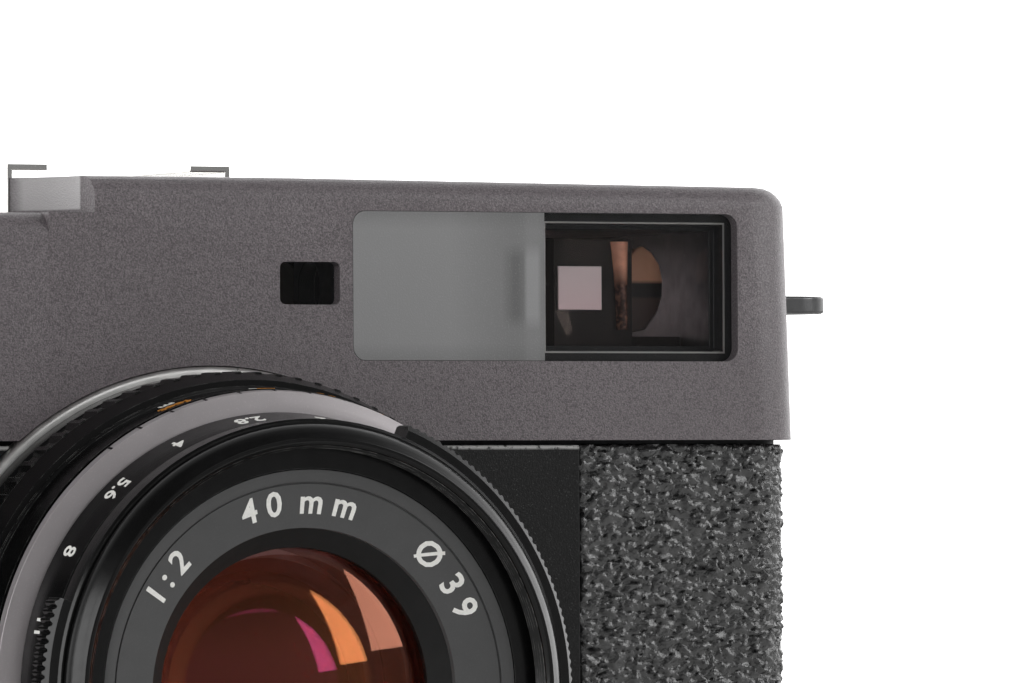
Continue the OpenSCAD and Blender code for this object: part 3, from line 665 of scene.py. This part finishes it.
def make_ring_marks():
    """Figures on the aperture ring and the distance scale, and the lines of the depth scale."""
    band = lambda a: 22.15 - (a - 13.1) * 0.75 / 3.4  # the aperture ring narrows to the front
    stop, first_stop = 16.7, -8
    marks = []
    for i, value in enumerate(("2", "2.8", "4", "5.6", "8", "11", "16")):
        points, faces = letters(value, 2.0, 0.03)
        marks.append((points, faces, on_band(INDEX + first_stop + i * stop, band, 14.75)))
    inscription("aperture_figures", marks, WHITE, "aperture_ring")

    scale = lambda a: 24.07
    unit_turn = -19
    metres = (("0.8", 106), ("0.9", 92), ("1", 80), ("1.2", 66), ("1.5", 52), ("2", 38),
              ("3", 25), ("5", 14), ("10", 6.5), ("∞", 0))
    feet = (("2.6", 108), ("3", 93), ("4", 66), ("5", 51), ("7", 36), ("10", 25),
            ("20", 12), ("∞", 0))
    for name, rows, ahead, surface, unit in (
            ("distance_metres", metres, 8.75, WHITE, "m"),
            ("distance_feet", feet, 10.4, ORANGE, "feet")):
        marks = []
        for value, turn in rows + ((unit, unit_turn),):
            points, faces = letters(value, 1.75, 0.02)
            marks.append((points, faces, on_band(INDEX - turn, scale, ahead)))
        inscription(name, marks, surface, "focus_ring")

    grey = lambda a: 23.95 - max(0, a - 11.65) * 0.11 / 0.75  # its front edge is bevelled
    line_turn = 7.2
    marks = []
    for i in range(-5, 6):
        points, faces = bar(0.22, 0.7)
        marks.append((points, faces, on_band(INDEX + i * line_turn, grey, 12.03)))
    inscription("depth_marks", marks, SLOTS["lens_black"], "lens_barrel")


def make_name_ring_marks():
    """Generic figures of focal length, aperture and filter size, twice round the name ring."""
    low_r, high_r, low_ahead, rise = 13.0, 16.48, 18, 0.88
    face = lambda r: low_ahead + (r - low_r) * rise / (high_r - low_r)
    radius, gap, usual_width = 15.0, 0.42, 1.75
    widths = {":": 0.9, "1": 1.25, "m": 2.5, "Ø": 2.0}
    words = (("1:2", 142), ("40", 105), ("mm", 83), ("Ø", 46), ("39", 30),
             ("1:2", -38), ("40", -75), ("mm", -97), ("Ø", -134), ("39", -150))
    marks = []
    for value, angle in words:
        total = sum(widths.get(c, usual_width) for c in value) + gap * (len(value) - 1)
        at = -total / 2
        for c in value:
            w = widths.get(c, usual_width)
            points, faces = letters(c, 2.75, 0.055)
            turn = math.degrees((at + w / 2) / radius)
            marks.append((points, faces, on_face(angle - turn, radius, face)))
            at += w + gap
    inscription("name_ring_figures", marks, WHITE, "lens_barrel")


def make_filter_thread():
    """Four ridges of the filter thread inside the front rim."""
    root, crest, pitch, first = 19.47, 19.26, 0.4, 19.4
    ridge = []
    for i in range(4):
        a = first + i * pitch
        ridge += [(root, a), (crest, a + pitch / 2)]
    ridge += [(root, 21.0), (19.495, 19.35)]
    points, faces = lathe(ridge)
    piece("filter_thread", points, faces, SLOTS["lens_black"], "lens_barrel",
          sharp_angle=20)


def make_dial_marks():
    """Figures on the speed dial, the film speed dial and the frame counter."""
    weight = 0.015
    speed_low, speed_high = box_mm("film_speed_dial")
    centre = ((speed_low.x + speed_high.x) / 2, (speed_low.z + speed_high.z) / 2)
    speed_r = (speed_high.x - speed_low.x) / 2
    shutter_face_r = 9.15
    rows = (  # name, body, finish, radius, height and angle apart of the figures, figures
        ("shutter_figures", "shutter_dial", WHITE, (speed_r + shutter_face_r) / 2, 1.25, 27,
         ("B", "2", "4", "8", "15", "30", "60", "125", "250", "500", "1000")),
        ("film_speed_figures", "film_speed_dial", SLOTS["lens_black"], speed_r - 1.6, 1.2, 36,
         ("25", "50", "100", "200", "400", "800", "1600", "ISO")),
    )
    for name, body, surface, radius, size, step, values in rows:
        face = box_mm(body)[0].y
        flat = lambda right, up, out: Vector((right, face - out, up))
        marks = []
        for i, value in enumerate(values):
            points, faces = letters(value, size, weight)
            marks.append((points, faces, on_disc(centre, 90 - i * step, radius, flat)))
        inscription(name, marks, surface, body)

    low, high = box_mm("counter_disc")
    window_low, window_high = box_mm("counter_window")
    centre = ((low.x + high.x) / 2, (low.y + high.y) / 2)
    radius = (window_low.x + window_high.x) / 2 - centre[0]
    flat = lambda right, up, out: Vector((right, up, high.z + out))
    frame_step = 4
    marks = []
    for i in range(9):
        points, faces = letters(str(frame_step * i), 1.9, 0.02)
        marks.append((points, faces, on_disc(centre, -40 * i, radius, flat)))
    inscription("counter_figures", marks, WHITE, "counter_disc")


def shell(name, radius, vertex, rim, surface, body, thick=0.25):
    """Thin spherical glass shell about the lens axis; a negative radius is hollow to the front."""
    rings, count, segments = [], 14, 96
    for k in range(count + 1):
        r = rim * k / count
        sag = abs(radius) - math.sqrt(radius * radius - r * r)
        rings.append((r, vertex - math.copysign(sag, radius)))
    profile = rings[1:] + [(r, a - thick) for r, a in reversed(rings[1:])]
    points, faces = lathe(profile, segments, closed=False)
    n = len(profile)
    for k, ahead in ((0, rings[0][1]), (n - 1, rings[0][1] - thick)):
        centre = len(points)
        points.append(lens_point(0, 0, ahead))
        for i in range(segments):
            j = (i + 1) % segments
            a, b = i * n + k, j * n + k
            faces.append((centre, b, a) if k else (centre, a, b))
    return piece(name, points, faces, surface, body)


def make_lens_glass():
    """The lens elements behind the front one, each with its own coating colour."""
    amber = clear("AmberCoating", (0.96, 0.88, 0.88), (0.95, 0.38, 0.13), 0.03, 0.075, 0.3)
    rose = clear("RoseCoating", (0.95, 0.87, 0.9), (0.7, 0.14, 0.4), 0.04, 0.1, 0.3)
    for name, radius, vertex, rim, coating in (
            ("element_front_rear", 21, 16.2, 10.9, amber),
            ("element_second", 15, 14.4, 10.6, rose),
            ("element_third", 11.8, 13.0, 9.6, amber)):
        shell(name, radius, vertex, rim, coating, "lens_barrel")


# ---------------------------------------------------------------- finder


def slab(name, outline, front, thick, surface, bevel=0.06, dome=0.0):
    """Thin upright plate from an outline of (x, z), its front at y = front; dome rounds it."""
    n = len(outline)
    middle = sum((Vector(p) for p in outline), Vector((0, 0))) / n
    points = []
    for y, inset in ((front + thick, 0.0), (front + bevel, 0.0), (front, bevel)):
        for p in outline:
            q = Vector(p)
            q += (middle - q).normalized() * inset
            points.append(Vector((q.x, y, q.y)) * MM)
    points.append(Vector((middle.x, front - dome, middle.y)) * MM)
    faces = [tuple(range(n - 1, -1, -1))]
    for k in (0, n):
        for i in range(n):
            j = (i + 1) % n
            faces.append((k + i, k + j, k + n + j, k + n + i))
    faces += [(2 * n + i, 2 * n + (i + 1) % n, 3 * n) for i in range(n)]
    return piece(name, points, faces, surface, "camera_body")


def rectangle(x0, z0, x1, z1):
    """Outline of an upright rectangle."""
    return [(x0, z0), (x1, z0), (x1, z1), (x0, z1)]


def make_splitter_patch(low, front):
    """The square half-silvered patch on the face of the beam-splitting block."""
    pink = Surface("SplitterPatch", (0.95, 0.82, 0.84), 0.3)
    pink.tint(pink.spread(pink.axis("Z"), (low.z + 3.2) * MM, (low.z + 6.6) * MM, 0.6, 0),
              (0.95, 0.7, 0.73))
    pink.tint(pink.spread(pink.noise(0.6, 2), 0.68, 0.8, 0, 0.3), (1.0, 0.95, 0.95))
    x0, z0, wide, tall = low.x + 0.37, low.z + 3.04, 4.0, 3.62
    slab("splitter_patch", rectangle(x0, z0, x0 + wide, z0 + tall), front, 0.1, pink,
         bevel=0.05)


def make_splitter_edge(low, right, front, split):
    """The narrow coated edge of the block, rounded to the front, with a painted copper reflection
    that turns to a painted dark reflection below the split.
    """
    copper = Surface("PaintedCopperReflection", (0.95, 0.45, 0.3), 0.25)
    # painted reflection: copper above the split, painted dark below it
    copper.tint(copper.spread(copper.axis("Z"), split + 1.4 * MM, split - 0.4 * MM, 0, 0.96),
                (0.012, 0.005, 0.005))
    copper.tint(copper.spread(copper.noise(0.4, 3), 0.45, 0.7, 0, 0.35), (0.6, 0.27, 0.18))
    rows, columns = 24, 10
    foot, tall, bulge, depth = low.z + 1.4, 7.3, 0.55, 0.1
    points, faces = [], []
    for j in range(rows + 1):
        v = j / rows
        z = foot + v * tall
        edge_left = right - 1.5 - 0.5 * v ** 2
        edge_right = right - 0.42 - 0.05 * math.sin(math.pi * v)
        for i in range(columns + 1):
            u = i / columns
            points.append(Vector((edge_left + (edge_right - edge_left) * u,
                                  front - bulge * math.sin(math.pi * u), z)) * MM)
        for x in (edge_right, edge_left):
            points.append(Vector((x, front + depth, z)) * MM)
    wide = columns + 3
    for j in range(rows):
        for i in range(wide):
            a, b = j * wide + i, j * wide + (i + 1) % wide
            faces.append((a, b, b + wide, a + wide))
    faces.append(tuple(range(wide - 1, -1, -1)))
    faces.append(tuple(range(rows * wide, (rows + 1) * wide)))
    piece("splitter_edge", points, faces, copper, "camera_body")


def make_finder_element(low, right, front, split):
    """The coated lens element beside the block, with a painted copper reflection, dark below the
    split.
    """
    lens = Surface("PaintedElementReflection", (0.8, 0.42, 0.27), 0.35)
    z = lens.axis("Z")
    # painted reflection: copper above the split, near black just below it and dark maroon lower
    # down
    lens.tint(lens.spread(z, split + 0.2 * MM, split - 0.1 * MM, 0, 1), (0.003, 0.003, 0.003))
    lens.tint(lens.spread(z, split - 1.1 * MM, split - 1.4 * MM, 0, 1), (0.06, 0.03, 0.026))
    x, z0 = right + 0.3, low.z
    outline = [(x, z0 + 1.0), (x + 2.2, z0 + 1.5), (x + 3.3, z0 + 2.9), (x + 3.75, z0 + 4.3),
               (x + 3.8, z0 + 5.6), (x + 3.5, z0 + 6.9), (x + 2.8, z0 + 7.9), (x + 2.0, z0 + 8.4),
               (x + 1.4, z0 + 8.2), (x, z0 + 6.8)]
    slab("finder_element", outline, front + 2.7, 0.7, lens, bevel=0.15, dome=0.3)


def make_finder_shade_plate(low, high):
    """A dull dark plate behind the block's left end, standing in for the shade seen there."""
    dull = Surface("Baffle", (0.004, 0.004, 0.004), 0.7)
    dull.tint(dull.spread(dull.noise(0.5, 2), 0.4, 0.7), (0.008, 0.008, 0.008))
    outline = rectangle(low.x - 2.3, low.z + 0.2, low.x + 0.1, low.z + 9.2)
    slab("finder_shade_plate", outline, high.y - 0.6, 0.3, dull)


def make_finder_mask_rim():
    """The thin bright rim of the mask behind the finder window."""
    low, high = box_mm("finder_housing")
    window_low, window_high = box_mm("viewfinder_window")
    rim = metal("MaskRim", (0.35, 0.34, 0.33), 0.35)
    width, ahead, behind = 0.14, 0.06, 0.05
    x0, x1 = window_low.x + 0.58, window_high.x - 0.7
    z0, z1 = window_low.z + 0.8, window_high.z - 0.8
    points, faces = [], []
    for y in (low.y - ahead, low.y + behind):
        for grow in (0.0, width):
            for px, pz in rectangle(x0, z0, x1, z1):
                points.append(Vector((px + math.copysign(grow, px - (x0 + x1) / 2), y,
                                      pz + math.copysign(grow, pz - (z0 + z1) / 2))) * MM)
    for i in range(4):
        j = (i + 1) % 4
        faces += [(i, j, 4 + j, 4 + i), (8 + i, 12 + i, 12 + j, 8 + j),
                  (i, 8 + i, 8 + j, j), (4 + i, 4 + j, 12 + j, 12 + i)]
    piece("finder_mask_rim", points, faces, rim, "camera_body", smooth=False)


def make_finder():
    """What shows through the finder window: coated faces, the lens edge and a lens element with
    painted reflections, a dark plate standing in for shade, and the mask's rim.
    """
    low, high = box_mm("beamsplitter")
    block_width = 7.2
    front, right = low.y - 0.1, low.x + block_width
    split = (low.z + 5.4) * MM  # height at which the painted reflections on the coatings turn dark
    make_splitter_patch(low, front)
    make_splitter_edge(low, right, front, split)
    make_finder_element(low, right, front, split)
    make_finder_shade_plate(low, high)
    make_finder_mask_rim()


# ---------------------------------------------------------------- studio


def make_floor():
    """A wide pale disc just below the part."""
    floor_mesh = bpy.data.meshes.new("floor")
    count, reach, gap = 96, 1.25, 0.0002
    turns = [2 * math.pi * i / count for i in range(count)]
    rim = [(reach * math.cos(a), reach * math.sin(a), cad_box[0].z - gap) for a in turns]
    floor_mesh.from_pydata(rim, [], [list(range(count))])
    floor = bpy.data.objects.new("floor", floor_mesh)
    bpy.context.scene.collection.objects.link(floor)
    pale = Surface("PaleFloor", (0.8, 0.8, 0.79), 0.7)
    pale.tint(pale.spread(pale.noise(60, 3), 0.3, 0.7, 0, 0.3), (0.84, 0.84, 0.83))
    floor_mesh.materials.append(pale.material)


def make_world():
    """White behind the part for the camera; as light, brighter from behind and low down."""
    world = bpy.data.worlds.new("Studio")
    bpy.context.scene.world = world
    world.use_nodes = True
    tree = world.node_tree
    background = tree.nodes["Background"]
    place = tree.nodes.new("ShaderNodeTexCoord")
    split = tree.nodes.new("ShaderNodeSeparateXYZ")
    behind = tree.nodes.new("ShaderNodeMapRange")
    path = tree.nodes.new("ShaderNodeLightPath")
    seen = tree.nodes.new("ShaderNodeMath")
    seen.operation = "MAXIMUM"
    above = tree.nodes.new("ShaderNodeMapRange")
    both = tree.nodes.new("ShaderNodeMath")
    both.operation = "MULTIPLY"
    for ramp, ends in ((behind, (-0.1, 0.4, 0.25, 2.4)), (above, (0.3, 0.85, 1.0, 0.25))):
        for socket, number in zip(RANGE_SOCKETS, ends):
            ramp.inputs[socket].default_value = number
    for source, target in (
        (place.outputs["Generated"], split.inputs["Vector"]),
        (split.outputs["Y"], behind.inputs["Value"]),
        (split.outputs["Z"], above.inputs["Value"]),
        (behind.outputs["Result"], both.inputs[0]),
        (above.outputs["Result"], both.inputs[1]),
        (both.outputs["Value"], seen.inputs[0]),
        (path.outputs["Is Camera Ray"], seen.inputs[1]),
        (seen.outputs["Value"], background.inputs["Strength"]),
    ):
        tree.links.new(source, target)
    background.inputs["Color"].default_value = (1, 1, 1, 1)


def make_lamps():
    """Three wide lamps aimed at the upper right of the body; places and sizes in millimetres."""
    target = Vector((15, -10, 45)) * MM
    for name, place, width, height, power in (
            ("top_light", (60, -380, 640), 420, 300, 0.35),
            ("right_light", (520, -330, 330), 300, 420, 1.9),
            ("left_light", (-640, -260, 200), 260, 420, 1.6)):
        lamp = bpy.data.lights.new(name, "AREA")
        lamp.shape = "RECTANGLE"
        lamp.size, lamp.size_y = width * MM, height * MM
        lamp.energy = power
        holder = bpy.data.objects.new(name, lamp)
        holder.location = Vector(place) * MM
        away = target - holder.location
        holder.rotation_euler = away.to_track_quat("-Z", "Y").to_euler()
        holder.visible_camera = False
        bpy.context.scene.collection.objects.link(holder)


def make_studio():
    """View settings, floor, world and lamps."""
    scene = bpy.context.scene
    scene.view_settings.view_transform = "Standard"
    scene.view_settings.look = "None"
    make_floor()
    make_world()
    make_lamps()


def make_camera():
    """Camera close to the front, from the left: the picture holds the upper right of the body."""
    place = Vector((-283.19, -698.41, 48.88)) * MM
    yaw, pitch, roll = (math.radians(a) for a in (24.869, 0.966, -0.257))
    ahead = Vector((math.sin(yaw) * math.cos(pitch), math.cos(yaw) * math.cos(pitch),
                    math.sin(pitch)))
    right = ahead.cross(Vector((0, 0, 1))).normalized()
    up = right.cross(ahead)
    right, up = (right * math.cos(roll) + up * math.sin(roll),
                 up * math.cos(roll) - right * math.sin(roll))
    data = bpy.data.cameras.new("camera")
    data.sensor_width = 36
    data.lens = 323.66
    data.clip_start, data.clip_end = 0.05, 20
    made = bpy.data.objects.new("camera", data)
    turn = Matrix((right, up, -ahead)).transposed().to_4x4()
    made.matrix_world = Matrix.Translation(place) @ turn
    bpy.context.scene.collection.objects.link(made)
    bpy.context.scene.camera = made


make_camera()
make_studio()
special = special_surfaces()
for node_name in NODES:
    dress(node_name, special.get(node_name))
make_coverings()
make_ring_marks()
make_name_ring_marks()
make_filter_thread()
make_dial_marks()
make_lens_glass()
make_finder()
